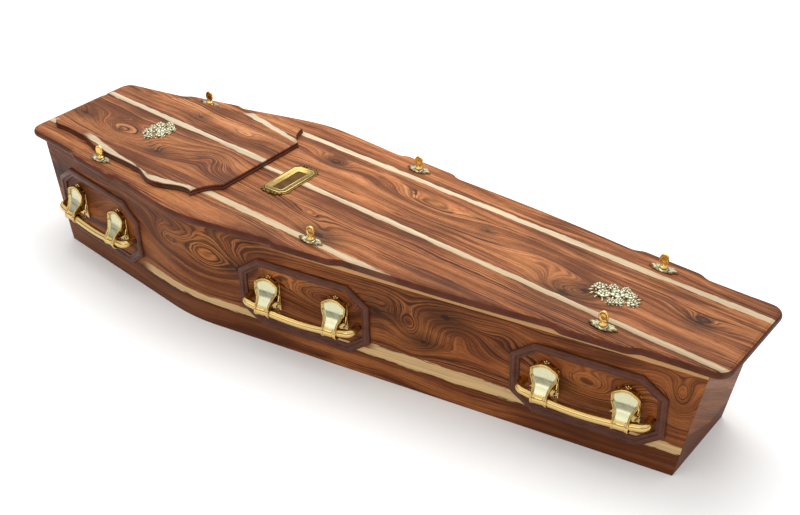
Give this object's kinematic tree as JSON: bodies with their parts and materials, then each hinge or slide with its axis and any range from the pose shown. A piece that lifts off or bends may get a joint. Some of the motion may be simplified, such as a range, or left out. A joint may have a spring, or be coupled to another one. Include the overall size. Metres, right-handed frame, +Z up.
{
  "type": "wooden coffin",
  "caption": "Tapered wooden coffin with a flat lid, a shaped raised head panel, gilt bar handles in moulded frames and gilt lid fittings.",
  "frame": {"origin": "middle of the length and width, on the floor plane under the base", "axes": "+X along the length from the head to the foot, +Y across to the far side, +Z up"},
  "size_m": [2, 0.5974, 0.3579],
  "materials": {
    "wood": "oiled orange-brown hardwood with dark figure and pale sapwood streaks, satin",
    "dark_wood": "dark stained moulding, satin varnish",
    "gilt": "polished gold-coloured metal",
    "plate": "dark bronze, blank"
  },
  "bodies": {
    "root": {"base_board": "wood", "side_board_near": "wood", "side_board_far": "wood", "end_board_head": "wood", "end_board_foot": "wood", "lid_board": "wood", "head_panel": "wood", "handle_frame_head_near": "dark_wood", "handle_bar_head_near": "gilt", "handle_lug_head_near_a": "gilt", "handle_lug_head_near_b": "gilt", "handle_frame_head_far": "dark_wood", "handle_bar_head_far": "gilt", "handle_lug_head_far_a": "gilt", "handle_lug_head_far_b": "gilt", "handle_frame_shoulder_near": "dark_wood", "handle_bar_shoulder_near": "gilt", "handle_lug_shoulder_near_a": "gilt", "handle_lug_shoulder_near_b": "gilt", "handle_frame_shoulder_far": "dark_wood", "handle_bar_shoulder_far": "gilt", "handle_lug_shoulder_far_a": "gilt", "handle_lug_shoulder_far_b": "gilt", "handle_frame_foot_near": "dark_wood", "handle_bar_foot_near": "gilt", "handle_lug_foot_near_a": "gilt", "handle_lug_foot_near_b": "gilt", "handle_frame_foot_far": "dark_wood", "handle_bar_foot_far": "gilt", "handle_lug_foot_far_a": "gilt", "handle_lug_foot_far_b": "gilt", "screw_rosette_head_near": "gilt", "thumb_screw_head_near": "gilt", "screw_rosette_head_far": "gilt", "thumb_screw_head_far": "gilt", "screw_rosette_middle_near": "gilt", "thumb_screw_middle_near": "gilt", "screw_rosette_middle_far": "gilt", "thumb_screw_middle_far": "gilt", "screw_rosette_foot_near": "gilt", "thumb_screw_foot_near": "gilt", "screw_rosette_foot_far": "gilt", "thumb_screw_foot_far": "gilt", "spray_head": "gilt", "spray_foot": "gilt", "nameplate_frame": "gilt", "nameplate": "plate"}
  },
  "joints": []
}
